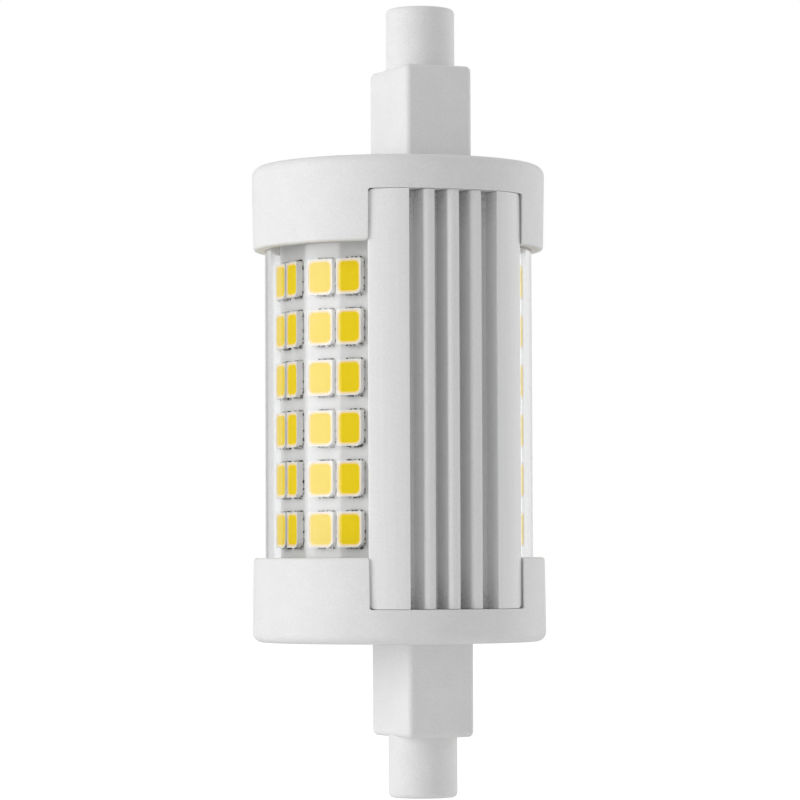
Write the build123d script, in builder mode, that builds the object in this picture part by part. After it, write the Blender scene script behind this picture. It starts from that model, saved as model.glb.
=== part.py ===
"""Double-ended linear LED bulb: finned extrusion, folded LED board, clear cover and two end caps.

The bulb stands along Z with its middle at the origin, and the finned side faces -Y. Angles round
the bulb are measured from -Y towards +X. Lengths are in millimetres.
"""

import os
from math import cos, degrees, hypot, radians, sin, sqrt

from build123d import *

os.makedirs("parts", exist_ok=True)

# Layout along the bulb
overall_length = 78.0
tip_length = 6.0
neck_length = 9.2
cap_height = 8.4
cap_end_wall = 1.7
sink_end_gap = 1.7
cover_end_gap = 0.2
board_end_margin = 1.4

# Clear cover
cover_radius = 13.4
cover_wall = 0.5

# End caps
cap_skirt_wall = 1.07
cap_draft = 0.15
cap_end_chamfer = 0.6
cap_skirt_chamfer = 0.35
tip_radius = 3.4
tip_chamfer = 0.4
base_offset = 5.85
neck_width = 7.1
neck_depth = 9.6
neck_wall = 1.4
neck_corner_round = 0.6
neck_end_chamfer = 0.4
recess_radius = 2.1
recess_depth = 1.5
tab_length = 3.7
tab_wall = 1.0
tab_width = 4.4
tab_angles = (90, 162, 198, 270)

# Finned extrusion
facet_count = 10
core_wall = 1.3
pad_edge_angle = 34.75
pad_lip = 0.77
pad_overhang = 1.35
pad_rise = 0.15
pad_crown = 0.26
pad_edge_round = 0.15
pad_corner_round = 0.6
field_half_width = 4.65
fin_count = 3
fin_pitch = 2.47
fin_width = 1.25
fin_drop = 0.3
fin_round = 0.5
groove_depth = 2.68

# LED board and LEDs
board_thickness = 0.8
led_width = 2.8
led_length = 3.5
led_height = 0.62
led_rim = 0.2
led_columns = 2
led_rows = 6
led_column_gap = 0.45
led_row_gap = 1.45
led_rows_drop = 0.25
phosphor_height = 0.08

# Contact pins, driver, lead wires and LED straps
contact_radius = 1.5
contact_reach = 1.2
liner_wall = 0.3
driver_thickness = 1.2
driver_end_margin = 1.3
lead_radius = 0.6
lead_overlap = 3.0
strap_width = 1.4
strap_thickness = 0.25
strap_bend = 0.6

# Driver components
component_margin = 1.0
capacitor_radius = 3.15
capacitor_length = 11.0
resistor_radius = 1.2
resistor_length = 4.5
film_capacitor_size = (5.0, 6.0, 4.6)
rectifier_size = (3.9, 1.6, 4.7)
chip_size = (3.9, 1.6, 4.9)
choke_core_size = (7.0, 8.0, 8.0)
choke_winding_size = (9.0, 5.0, 5.6)

# Clearances
fit_clearance = 0.1
sink_clearance = 0.03
notch_clearance = 0.05
board_edge_clearance = 0.2
led_cover_clearance = 0.56
contact_clearance = 0.05
strap_clearance = 0.3
rest_clearance = 0.02

# Levels along the bulb, measured from its middle
tip_end = overall_length / 2
neck_end = tip_end - tip_length
cap_end = neck_end - neck_length
skirt_edge = cap_end - cap_height
cap_floor = cap_end - cap_end_wall
cover_end = cap_floor - cover_end_gap
sink_end = cap_floor - sink_end_gap
stop_face = sink_end + sink_clearance
board_end = sink_end - board_end_margin
led_rows_end = (led_rows * (led_length + led_row_gap) - led_row_gap) / 2 + led_rows_drop
tab_end = cap_floor - tab_length
liner_end = tab_end - fit_clearance
driver_end = liner_end - driver_end_margin
neck_cavity_end = neck_end - neck_wall
recess_floor = tip_end - recess_depth
contact_end = neck_cavity_end - contact_reach

# Radii and distances from the axis
cover_inner = cover_radius - cover_wall
cap_bore = cover_radius + fit_clearance
cap_skirt_radius = cap_bore + cap_skirt_wall
cap_end_radius = cap_skirt_radius + cap_draft
slot_floor = cover_inner - fit_clearance
slot_roof = cover_radius + fit_clearance
led_half_span = (led_columns * (led_width + led_column_gap) - led_column_gap) / 2
led_top = sqrt((cover_inner - led_cover_clearance) ** 2 - led_half_span**2)
board_face = led_top - led_height - phosphor_height
core_face = board_face - board_thickness
core_bore = core_face - core_wall
liner_radius = core_bore - fit_clearance
liner_inner = liner_radius - liner_wall
driver_outer = base_offset - lead_radius - rest_clearance
driver_inner = driver_outer - driver_thickness

# Angles round the bulb: the spine takes two facets, and the LEDs take the others
facet_step = 360 / facet_count
facet_angles = [facet_step * (k + 1.5) for k in range(facet_count - 2)]
slot_angle = pad_edge_angle - degrees(pad_overhang / slot_roof)
slot_mouth_angle = pad_edge_angle + facet_step / 4


def polar(radius: float, angle: float) -> tuple[float, float]:
    """Return the point at a radius and an angle measured from -Y towards +X."""
    return (radius * sin(radians(angle)), -radius * cos(radians(angle)))


def wedge(radius: float, half_angle: float) -> Sketch:
    """Return a pie slice from the axis, centred on -Y."""
    with BuildSketch() as pie:
        with BuildLine():
            Line((0, 0), polar(radius, -half_angle))
            ThreePointArc(polar(radius, -half_angle), polar(radius, 0), polar(radius, half_angle))
            Line(polar(radius, half_angle), (0, 0))
        make_face()
    return pie.sketch


def near(vertices: ShapeList, points: list[tuple[float, float]]) -> ShapeList:
    """Return the vertices of a sketch that lie at the given points."""
    return ShapeList(v for v in vertices if any(hypot(v.X - x, v.Y - y) < 0.01 for x, y in points))


# Finned extrusion: a hollow ten-sided core with a spine of two side pads and a field of fins
spine_half_width, spine_edge_y = polar(slot_roof + pad_lip, pad_edge_angle)
pad_top_y = -sqrt((cap_skirt_radius + pad_rise) ** 2 - field_half_width**2)
pad_run = spine_half_width - field_half_width
pad_fall = spine_edge_y - pad_top_y
pad_chord = hypot(pad_run, pad_fall)
pad_middle_x = (spine_half_width + field_half_width) / 2 + pad_crown * pad_fall / pad_chord
pad_middle_y = (spine_edge_y + pad_top_y) / 2 - pad_crown * pad_run / pad_chord
groove_floor_y = pad_top_y + groove_depth
fin_xs = [fin_pitch * (k - (fin_count - 1) / 2) for k in range(fin_count)]
fin_tops = [(x, -sqrt((cap_skirt_radius - fin_drop) ** 2 - x**2)) for x in fin_xs]
fin_tips = [(x + side * fin_width / 2, y) for x, y in fin_tops for side in (-1, 1)]
pad_edges = [(side * spine_half_width, spine_edge_y) for side in (-1, 1)]

with BuildPart() as heat_sink:
    with BuildSketch(Plane.XY.offset(-sink_end)) as section:
        with BuildLine():
            Line((0, 0), (spine_half_width, spine_edge_y))
            ThreePointArc(
                (spine_half_width, spine_edge_y),
                (pad_middle_x, pad_middle_y),
                (field_half_width, pad_top_y),
            )
            Line((field_half_width, pad_top_y), (0, pad_top_y))
            Line((0, pad_top_y), (0, 0))
        make_face()
        with BuildLine():
            Line(polar(slot_floor, slot_angle), polar(slot_roof, slot_angle))
            ThreePointArc(
                polar(slot_roof, slot_angle),
                polar(slot_roof, pad_edge_angle),
                polar(slot_roof, slot_mouth_angle),
            )
            Line(polar(slot_roof, slot_mouth_angle), polar(slot_floor, slot_mouth_angle))
            ThreePointArc(
                polar(slot_floor, slot_mouth_angle),
                polar(slot_floor, pad_edge_angle),
                polar(slot_floor, slot_angle),
            )
        make_face(mode=Mode.SUBTRACT)
        mirror(about=Plane.YZ)
        RegularPolygon(core_face, facet_count, major_radius=False, rotation=90)
        add(wedge(slot_floor, facet_step))
        with Locations((0, groove_floor_y)):
            Rectangle(
                2 * field_half_width,
                2 * groove_depth,
                align=(Align.CENTER, Align.MAX),
                mode=Mode.SUBTRACT,
            )
        for x, y in fin_tops:
            with Locations((x, y)):
                Rectangle(fin_width, groove_floor_y - y + core_wall / 2, align=(Align.CENTER, Align.MIN))
        RegularPolygon(core_bore, facet_count, major_radius=False, rotation=90, mode=Mode.SUBTRACT)
        fillet(near(section.vertices(), fin_tips), min(fin_round, 0.4 * fin_width))
        fillet(near(section.vertices(), pad_edges), min(pad_edge_round, 0.5 * pad_lip))
    extrude(amount=2 * sink_end)
    with BuildSketch(Plane.XZ.offset(core_face)):
        Rectangle(2 * spine_half_width, 2 * sink_end)
        RectangleRounded(2 * spine_half_width, 2 * sink_end, pad_corner_round, mode=Mode.SUBTRACT)
    extrude(amount=cap_end_radius - core_face, mode=Mode.SUBTRACT)
heat_sink.part.label = "heat_sink"
export_step(heat_sink.part, "parts/heat_sink.step")

# LED board: one sheet folded round the free facets of the core
with BuildPart() as led_board:
    with BuildSketch(Plane.XY.offset(-board_end)):
        RegularPolygon(board_face, facet_count, major_radius=False, rotation=90)
        RegularPolygon(core_face, facet_count, major_radius=False, rotation=90, mode=Mode.SUBTRACT)
        add(wedge(cover_radius, facet_step + degrees(board_edge_clearance / core_face)), mode=Mode.SUBTRACT)
    extrude(amount=2 * board_end)
led_board.part.label = "led_board"
export_step(led_board.part, "parts/led_board.step")

# LEDs: a white housing and a phosphor pad on its top, in columns and rows on every facet
for number, angle in enumerate(facet_angles, start=1):
    facet = Plane(
        origin=(*polar(board_face, angle), -led_rows_drop),
        x_dir=(cos(radians(angle)), sin(radians(angle)), 0),
        z_dir=(*polar(1, angle), 0),
    )
    with BuildPart() as led_housings:
        with BuildSketch(facet):
            with GridLocations(led_width + led_column_gap, led_length + led_row_gap, led_columns, led_rows):
                Rectangle(led_width, led_length)
        extrude(amount=led_height)
    led_housings.part.label = f"led_housings_{number}"
    export_step(led_housings.part, f"parts/led_housings_{number}.step")

    with BuildPart() as led_phosphor:
        with BuildSketch(facet.offset(led_height)):
            with GridLocations(led_width + led_column_gap, led_length + led_row_gap, led_columns, led_rows):
                Rectangle(led_width - 2 * led_rim, led_length - 2 * led_rim)
        extrude(amount=phosphor_height)
    led_phosphor.part.label = f"led_phosphor_{number}"
    export_step(led_phosphor.part, f"parts/led_phosphor_{number}.step")

# Clear cover: an open sleeve whose long edges sit in the slots under the side pads
with BuildPart() as clear_cover:
    with BuildSketch(Plane.XY.offset(-cover_end)):
        Circle(cover_radius)
        Circle(cover_inner, mode=Mode.SUBTRACT)
        add(wedge(cap_bore, slot_angle + degrees(fit_clearance / cover_inner)), mode=Mode.SUBTRACT)
    extrude(amount=2 * cover_end)
clear_cover.part.label = "clear_cover"
export_step(clear_cover.part, "parts/clear_cover.step")

# End cap: a drafted cup notched for the spine, with a stop that closes the grooves between the fins, locating
# tabs, a hollow neck and a round tip
with BuildPart() as end_cap:
    with BuildSketch(Plane.XZ) as cup:
        with BuildLine():
            Polyline(
                (0, cap_floor),
                (cap_bore, cap_floor),
                (cap_bore, skirt_edge),
                (cap_skirt_radius, skirt_edge),
                (cap_end_radius, cap_end),
                (0, cap_end),
                close=True,
            )
        make_face()
        chamfer(near(cup.vertices(), [(cap_end_radius, cap_end)]), cap_end_chamfer)
        skirt_corner = near(cup.vertices(), [(cap_skirt_radius, skirt_edge)])
        chamfer(skirt_corner, min(cap_skirt_chamfer, cap_skirt_wall / 2))
    revolve(axis=Axis.Z)
    with BuildSketch(Plane.XY.offset(skirt_edge)):
        Rectangle(2 * (spine_half_width + notch_clearance), cap_end_radius, align=(Align.CENTER, Align.MAX))
    extrude(amount=stop_face - skirt_edge, mode=Mode.SUBTRACT)
    with BuildSketch(Plane.XY.offset(stop_face)):
        with Locations((0, -core_face)):
            Rectangle(2 * field_half_width, cap_end_radius - core_face, align=(Align.CENTER, Align.MAX))
        Circle(cap_bore + cap_skirt_wall / 2, mode=Mode.INTERSECT)
    extrude(amount=cap_floor - stop_face)
    with BuildSketch(Plane.XY.offset(tab_end)):
        for angle in tab_angles:
            with Locations(Location((*polar(liner_radius, angle), 0), (0, 0, angle))):
                Rectangle(tab_width, tab_wall, align=(Align.CENTER, Align.MIN))
    extrude(amount=tab_length)
    with BuildSketch(Plane.YZ) as neck_side:
        with Locations((-base_offset, cap_floor)):
            Rectangle(neck_depth, neck_end - cap_floor, align=(Align.CENTER, Align.MIN))
        chamfer(neck_side.vertices().group_by(Axis.Y)[-1], neck_end_chamfer)
    extrude(amount=neck_width / 2, both=True)
    neck_corners = end_cap.edges().filter_by(Axis.Z).filter_by_position(Axis.Z, cap_end, neck_end)
    fillet(neck_corners, neck_corner_round)
    with BuildSketch(Plane.XY.offset(neck_cavity_end)):
        with Locations((0, -base_offset)):
            Circle(tip_radius)
    extrude(amount=tip_end - neck_cavity_end)
    chamfer(end_cap.edges().group_by(Axis.Z)[-1], tip_chamfer)
    with BuildSketch(Plane.XY.offset(cap_floor)):
        with Locations((0, -base_offset)):
            Rectangle(neck_width - 2 * neck_wall, neck_depth - 2 * neck_wall)
    extrude(amount=neck_cavity_end - cap_floor, mode=Mode.SUBTRACT)
    with BuildSketch(Plane.XY.offset(recess_floor)):
        with Locations((0, -base_offset)):
            Circle(recess_radius)
    extrude(amount=recess_depth, mode=Mode.SUBTRACT)
    with BuildSketch(Plane.XY.offset(neck_cavity_end)):
        with Locations((0, -base_offset)):
            Circle(contact_radius + contact_clearance)
    extrude(amount=recess_floor - neck_cavity_end, mode=Mode.SUBTRACT)

# Contact pin: its outer end is flush with the floor of the recess, and its inner end stands in the neck
with BuildPart() as contact:
    with BuildSketch(Plane.XY.offset(contact_end)):
        with Locations((0, -base_offset)):
            Circle(contact_radius)
    extrude(amount=recess_floor - contact_end)

# Lead wire: straight down the neck from the contact pin to a pad on the driver board
with BuildPart() as lead_wire:
    with BuildSketch(Plane.XY.offset(driver_end - lead_overlap)):
        with Locations((0, -base_offset)):
            Circle(lead_radius)
    extrude(amount=contact_end - driver_end + lead_overlap)

# The same cap, contact and wire serve both ends, turned half round about Y for the lower one
for end, turn in (("top", 0), ("bottom", 180)):
    for stem, piece in (("end_cap", end_cap), ("contact", contact), ("lead_wire", lead_wire)):
        with BuildPart() as placed:
            add(piece.part, rotation=(0, turn, 0))
        placed.part.label = f"{stem}_{end}"
        export_step(placed.part, f"parts/{stem}_{end}.step")

# Insulating liner: a ten-sided tube in the core, between the cap tabs
with BuildPart() as insulating_liner:
    with BuildSketch(Plane.XY.offset(-liner_end)):
        RegularPolygon(liner_radius, facet_count, major_radius=False, rotation=90)
        RegularPolygon(liner_inner, facet_count, major_radius=False, rotation=90, mode=Mode.SUBTRACT)
    extrude(amount=2 * liner_end)
insulating_liner.part.label = "insulating_liner"
export_step(insulating_liner.part, "parts/insulating_liner.step")

# Driver board: a plain board whose long edges rest in the liner
edge_angle = radians(facet_angles[0])
driver_half_width = (liner_inner - fit_clearance - driver_outer * cos(edge_angle)) / sin(edge_angle)
with BuildPart() as driver_board:
    with Locations((0, -driver_outer, 0)):
        Box(
            2 * driver_half_width,
            driver_thickness,
            2 * driver_end,
            align=(Align.CENTER, Align.MIN, Align.CENTER),
        )
driver_board.part.label = "driver_board"
export_step(driver_board.part, "parts/driver_board.step")

# Round driver components, which lie along the face of the board that looks towards the axis
component_x = driver_half_width / 2
capacitor_start = driver_end - component_margin - capacitor_length
resistor_start = component_margin - driver_end
for name, radius, length, x, start in (
    ("bulk_capacitor", capacitor_radius, capacitor_length, -component_x, capacitor_start),
    ("fusible_resistor", resistor_radius, resistor_length, component_x, resistor_start),
):
    with BuildPart() as component:
        with BuildSketch(Plane.XY.offset(start)):
            with Locations((x, radius + rest_clearance - driver_inner)):
                Circle(radius)
        extrude(amount=length)
    component.part.label = name
    export_step(component.part, f"parts/{name}.step")

# Block-shaped driver components: the rectifier and the chip share the length of the bulk capacitor
rectifier_z = driver_end - component_margin - rectifier_size[2] / 2
chip_z = capacitor_start + chip_size[2] / 2
film_capacitor_z = component_margin + film_capacitor_size[2] / 2 - driver_end
for name, size, x, z in (
    ("bridge_rectifier", rectifier_size, component_x, rectifier_z),
    ("driver_chip", chip_size, component_x, chip_z),
    ("film_capacitor", film_capacitor_size, -component_x, film_capacitor_z),
):
    with BuildPart() as component:
        with Locations((x, -driver_inner, z)):
            Box(*size, align=(Align.CENTER, Align.MIN, Align.CENTER))
    component.part.label = name
    export_step(component.part, f"parts/{name}.step")

# Choke: a block core with the winding standing out at its sides, midway between the two capacitors
choke_z = (capacitor_start + film_capacitor_z + film_capacitor_size[2] / 2) / 2
with BuildPart() as choke:
    with Locations((0, -driver_inner, choke_z)):
        Box(*choke_core_size, align=(Align.CENTER, Align.MIN, Align.CENTER))
    with Locations((0, choke_core_size[1] / 2 - driver_inner, choke_z)):
        Box(*choke_winding_size)
choke.part.label = "choke"
export_step(choke.part, "parts/choke.step")

# LED straps: from the lower end of the driver board, over the end of the core, onto the LED board, where
# they stop midway between its end and the LEDs
strap_start = liner_inner - strap_clearance - strap_thickness / 2
strap_rest = board_face + strap_thickness / 2
strap_level = -(sink_end + cap_floor) / 2
for name, angle in (("led_strap_right", facet_angles[0]), ("led_strap_left", -facet_angles[0])):
    radial = Plane(
        origin=(0, 0, 0),
        x_dir=(*polar(1, angle), 0),
        z_dir=(-cos(radians(angle)), -sin(radians(angle)), 0),
    )
    with BuildPart() as led_strap:
        with BuildLine(radial) as route:
            FilletPolyline(
                (strap_start, -driver_end),
                (strap_start, strap_level),
                (strap_rest, strap_level),
                (strap_rest, -(board_end + led_rows_end) / 2),
                radius=strap_bend,
            )
        with BuildSketch(Plane(origin=route.line @ 0, x_dir=radial.z_dir, z_dir=route.line % 0)):
            Rectangle(strap_width, strap_thickness)
        sweep()
    led_strap.part.label = name
    export_step(led_strap.part, f"parts/{name}.step")
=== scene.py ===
"""Looks of a double-ended linear LED bulb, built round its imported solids.

The bulb stands along Z with its finned side towards -Y. Sizes are in millimetres in the classes and are
turned into metres where a mesh is made. Angles round the bulb run from -Y towards +X.
"""

import logging
import math
from collections.abc import Callable, Sequence
from dataclasses import dataclass, field
from enum import Enum

import bmesh
import bpy
from mathutils import Matrix, Vector


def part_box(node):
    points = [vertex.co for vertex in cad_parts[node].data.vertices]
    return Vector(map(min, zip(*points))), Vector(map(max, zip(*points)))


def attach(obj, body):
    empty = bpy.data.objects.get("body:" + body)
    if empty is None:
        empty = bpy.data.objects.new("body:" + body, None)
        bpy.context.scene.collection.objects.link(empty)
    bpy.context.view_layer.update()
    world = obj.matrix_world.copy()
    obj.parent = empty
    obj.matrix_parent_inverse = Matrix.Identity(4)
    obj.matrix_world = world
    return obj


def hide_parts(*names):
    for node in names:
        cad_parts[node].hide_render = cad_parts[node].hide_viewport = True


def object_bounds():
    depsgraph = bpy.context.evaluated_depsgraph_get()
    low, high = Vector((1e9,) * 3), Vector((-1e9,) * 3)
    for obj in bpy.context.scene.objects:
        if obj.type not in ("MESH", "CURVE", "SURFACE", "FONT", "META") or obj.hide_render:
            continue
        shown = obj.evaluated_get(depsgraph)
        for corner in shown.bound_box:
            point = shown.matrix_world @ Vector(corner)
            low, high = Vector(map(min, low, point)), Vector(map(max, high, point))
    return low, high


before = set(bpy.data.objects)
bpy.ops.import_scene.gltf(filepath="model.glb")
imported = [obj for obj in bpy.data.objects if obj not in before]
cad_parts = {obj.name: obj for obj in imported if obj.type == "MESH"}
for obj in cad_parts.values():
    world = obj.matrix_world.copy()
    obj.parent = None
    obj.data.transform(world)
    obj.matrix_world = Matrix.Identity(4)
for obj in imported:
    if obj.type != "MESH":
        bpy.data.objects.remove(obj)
CAD_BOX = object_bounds()

LOG = logging.getLogger("linear_led_bulb")
MM = 0.001
BODY = "root"
EDGE_ATTRIBUTE = "window_edge"

# Points nearer than this in metres are one, faces within this angle in degrees are flat, and a face whose
# normal has at least this Z looks up
CLOSE = 1e-6
FLAT_ANGLE = 0.5
LEAST_UPWARD = 0.9

MADE: dict[str, bpy.types.Material] = {}

Colour = tuple[float, float, float]
Point = tuple[float, float, float]
Socket = bpy.types.NodeSocket


class Element(Enum):
    """Kinds of mesh element that an edit can select."""

    VERTEX = "VERT"
    EDGE = "EDGE"
    FACE = "FACE"


class Cut(Enum):
    """Ways to combine two workpieces."""

    JOIN = "UNION"
    REMOVE = "DIFFERENCE"


def direction(angle: float) -> Vector:
    """Return the outward unit vector at an angle in degrees, from -Y towards +X."""
    turn = math.radians(angle)
    return Vector((math.sin(turn), -math.cos(turn), 0.0))


def clear_selection() -> None:
    """Leave edit mode and deselect every object."""
    active = bpy.context.view_layer.objects.active
    if active is not None and active.mode != "OBJECT":
        bpy.ops.object.mode_set(mode="OBJECT")
    bpy.ops.object.select_all(action="DESELECT")


def at_level(edge: bmesh.types.BMEdge, level: float) -> bool:
    """Say whether both ends of an edge lie at a Z in millimetres."""
    return all(abs(vertex.co.z - level * MM) < CLOSE for vertex in edge.verts)


class Workpiece:
    """A mesh object that is shaped with Blender's modelling operators."""

    def __init__(self, name: str, piece: bpy.types.Object) -> None:
        """Take over an object.

        Args:
            name: Name of the piece.
            piece: The mesh object.
        """
        self.piece = piece
        piece.name = name
        piece.data.name = name

    @classmethod
    def added(cls, name: str) -> "Workpiece":
        """Take over the object that was just added, with its place moved into its mesh."""
        bpy.ops.object.transform_apply(location=True, rotation=True, scale=True)
        return cls(name, bpy.context.view_layer.objects.active)

    @classmethod
    def block(cls, name: str, low: Sequence[float], high: Sequence[float]) -> "Workpiece":
        """Add a block between two corners.

        Args:
            name: Name of the piece.
            low: Lowest corner in millimetres.
            high: Highest corner in millimetres.

        Returns:
            The new workpiece.
        """
        clear_selection()
        size = [(b - a) * MM for a, b in zip(low, high)]
        middle = [(a + b) / 2 * MM for a, b in zip(low, high)]
        bpy.ops.mesh.primitive_cube_add(size=1.0, location=middle, scale=size)
        return cls.added(name)

    @classmethod
    def drum(
        cls, name: str, centre: Sequence[float], radius: float, ends: Sequence[float], sides: int
    ) -> "Workpiece":
        """Add an upright cylinder.

        Args:
            name: Name of the piece.
            centre: X and Y of the axis in millimetres.
            radius: Radius in millimetres.
            ends: Lowest and highest Z in millimetres.
            sides: Number of sides.

        Returns:
            The new workpiece.
        """
        clear_selection()
        place = (centre[0] * MM, centre[1] * MM, (ends[0] + ends[1]) / 2 * MM)
        bpy.ops.mesh.primitive_cylinder_add(
            vertices=sides, radius=radius * MM, depth=(ends[1] - ends[0]) * MM, location=place
        )
        return cls.added(name)

    @classmethod
    def plate(cls, name: str, width: float, length: float, level: float) -> "Workpiece":
        """Add a flat plate centred on the Z axis.

        Args:
            name: Name of the piece.
            width: Size along X in millimetres.
            length: Size along Y in millimetres.
            level: Z in millimetres.

        Returns:
            The new workpiece.
        """
        clear_selection()
        bpy.ops.mesh.primitive_plane_add(size=1.0, location=(0.0, 0.0, level * MM))
        bpy.ops.transform.resize(value=(width * MM, length * MM, 1.0))
        return cls.added(name)

    @classmethod
    def outline(cls, name: str, points: Sequence[Point], closed: bool) -> "Workpiece":
        """Draw a wire by extruding a vertex from point to point.

        Args:
            name: Name of the piece.
            points: Corners in millimetres.
            closed: True to join the last corner to the first.

        Returns:
            The new workpiece, in object mode.
        """
        drawn = cls.plate(name, 1.0, 1.0, 0.0)
        drawn.edit(Element.VERTEX)
        bpy.ops.mesh.select_all(action="SELECT")
        bpy.ops.mesh.merge(type="CENTER")
        at = Vector((0.0, 0.0, 0.0))
        for number, point in enumerate(points):
            step = Vector(point) * MM - at
            if number == 0:
                bpy.ops.transform.translate(value=step)
            else:
                bpy.ops.mesh.extrude_vertices_move(TRANSFORM_OT_translate={"value": step})
            at = at + step
        if closed:
            drawn.pick_points((points[0], points[-1]))
            bpy.ops.mesh.edge_face_add()
        drawn.done()
        return drawn

    @classmethod
    def copy_of(cls, name: str, node: str) -> "Workpiece":
        """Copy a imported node's mesh, with its loose triangles merged and its flat areas made whole.

        Args:
            name: Name of the piece.
            node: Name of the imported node.

        Returns:
            The new workpiece, in object mode.
        """
        clear_selection()
        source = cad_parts[node]
        copy = bpy.data.objects.new(name, source.data.copy())
        bpy.context.scene.collection.objects.link(copy)
        copy.data.materials.clear()
        copied = cls(name, copy)
        copied.edit(Element.VERTEX)
        bpy.ops.mesh.customdata_custom_splitnormals_clear()
        bpy.ops.mesh.select_all(action="SELECT")
        bpy.ops.mesh.remove_doubles(threshold=CLOSE)
        bpy.ops.mesh.dissolve_limited(angle_limit=math.radians(FLAT_ANGLE))
        copied.done()
        return copied

    def activate(self) -> None:
        """Make this the only selected object."""
        clear_selection()
        self.piece.select_set(True)
        bpy.context.view_layer.objects.active = self.piece

    def edit(self, kind: Element) -> None:
        """Enter edit mode with nothing selected.

        Args:
            kind: Kind of element to select.
        """
        self.activate()
        bpy.ops.object.mode_set(mode="EDIT")
        bpy.ops.mesh.select_mode(type=kind.value)
        bpy.ops.mesh.select_all(action="DESELECT")

    def done(self) -> None:
        """Leave edit mode."""
        bpy.ops.object.mode_set(mode="OBJECT")

    def pick(self, kind: Element, test: Callable[..., bool]) -> int:
        """Select the elements that pass a test, in edit mode.

        Args:
            kind: Kind of element.
            test: Takes a bmesh element and says whether to select it.

        Returns:
            Number of elements selected.
        """
        bpy.ops.mesh.select_mode(type=kind.value)
        bpy.ops.mesh.select_all(action="DESELECT")
        mesh = bmesh.from_edit_mesh(self.piece.data)
        elements = {Element.VERTEX: mesh.verts, Element.EDGE: mesh.edges, Element.FACE: mesh.faces}[kind]
        found = [element for element in elements if test(element)]
        for element in found:
            element.select_set(True)
        mesh.select_flush_mode()
        bmesh.update_edit_mesh(self.piece.data)
        return len(found)

    def pick_points(self, points: Sequence[Point]) -> int:
        """Select the vertices at given points, in edit mode.

        Args:
            points: The points in millimetres.

        Returns:
            Number of vertices selected.
        """
        spots = [Vector(point) * MM for point in points]
        return self.pick(Element.VERTEX, lambda v: any((v.co - spot).length < CLOSE for spot in spots))

    def round_off(self, width: float, segments: int, corners: bool = False) -> None:
        """Bevel the selected edges, or the selected corners of a flat outline, in edit mode.

        Args:
            width: Width in millimetres.
            segments: Number of strips.
            corners: True to bevel vertices.
        """
        bpy.ops.mesh.bevel(
            offset=width * MM,
            segments=segments,
            affect="VERTICES" if corners else "EDGES",
            clamp_overlap=False,
        )

    def spin(self, turn: float, steps: int) -> None:
        """Turn the whole wire round the Z axis into a surface, closed where its ends meet.

        Args:
            turn: Angle in degrees.
            steps: Number of steps.
        """
        self.edit(Element.VERTEX)
        bpy.ops.mesh.select_all(action="SELECT")
        bpy.ops.mesh.spin(steps=steps, angle=math.radians(turn), center=(0, 0, 0), axis=(0, 0, -1))
        self.tidy()

    def tidy(self) -> None:
        """Merge doubles and face all faces outwards, then leave edit mode."""
        bpy.ops.mesh.select_all(action="SELECT")
        bpy.ops.mesh.remove_doubles(threshold=CLOSE)
        bpy.ops.mesh.normals_make_consistent(inside=False)
        self.done()

    def combine(self, other: "Workpiece", way: Cut) -> None:
        """Join or remove another workpiece, which is used up.

        Args:
            other: The other workpiece.
            way: Join or remove.
        """
        modifier = self.piece.modifiers.new(way.name, "BOOLEAN")
        modifier.operation = way.value
        modifier.solver = "EXACT"
        modifier.object = other.piece
        self.apply(modifier)
        bpy.data.objects.remove(other.piece, do_unlink=True)

    def apply(self, modifier: bpy.types.Modifier) -> None:
        """Apply a modifier."""
        self.activate()
        bpy.ops.object.modifier_apply(modifier=modifier.name)

    def soften(self, width: float, segments: int, angle: float) -> None:
        """Bevel every edge that is sharper than an angle.

        Args:
            width: Width in millimetres.
            segments: Number of strips.
            angle: Least angle in degrees.
        """
        modifier = self.piece.modifiers.new("soften", "BEVEL")
        modifier.width = width * MM
        modifier.segments = segments
        modifier.limit_method = "ANGLE"
        modifier.angle_limit = math.radians(angle)
        modifier.use_clamp_overlap = True
        self.apply(modifier)

    def smooth(self, angle: float) -> None:
        """Shade smooth, with the larger faces leading.

        Args:
            angle: Angle in degrees from which an edge stays sharp.
        """
        self.activate()
        bpy.ops.object.shade_smooth_by_angle(angle=math.radians(angle))
        modifier = self.piece.modifiers.new("lead", "WEIGHTED_NORMAL")
        modifier.keep_sharp = True
        self.apply(modifier)

    def copy(self, name: str, place: Matrix) -> "Workpiece":
        """Copy the workpiece to another place, with its own mesh.

        Args:
            name: Name of the copy.
            place: Matrix that is applied to the copy's mesh.

        Returns:
            The copy.
        """
        self.activate()
        bpy.ops.object.duplicate(linked=False)
        bpy.context.view_layer.objects.active.matrix_world = place
        return Workpiece.added(name)

    def absorb(self, others: Sequence["Workpiece"]) -> None:
        """Join other workpieces to this one as separate shells of one mesh.

        Args:
            others: The other workpieces, which are used up.
        """
        self.activate()
        for other in others:
            other.piece.select_set(True)
        bpy.ops.object.join()

    def place(self, finish: "Finish", nodes: Sequence[str] = ()) -> bpy.types.Object:
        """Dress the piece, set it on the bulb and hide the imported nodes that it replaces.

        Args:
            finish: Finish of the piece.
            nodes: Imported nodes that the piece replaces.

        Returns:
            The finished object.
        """
        clear_selection()
        self.piece.data.materials.clear()
        self.piece.data.materials.append(finish.material())
        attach(self.piece, BODY)
        if nodes:
            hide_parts(*nodes)
        LOG.info("piece %s: %d faces", self.piece.name, len(self.piece.data.polygons))
        return self.piece


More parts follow.
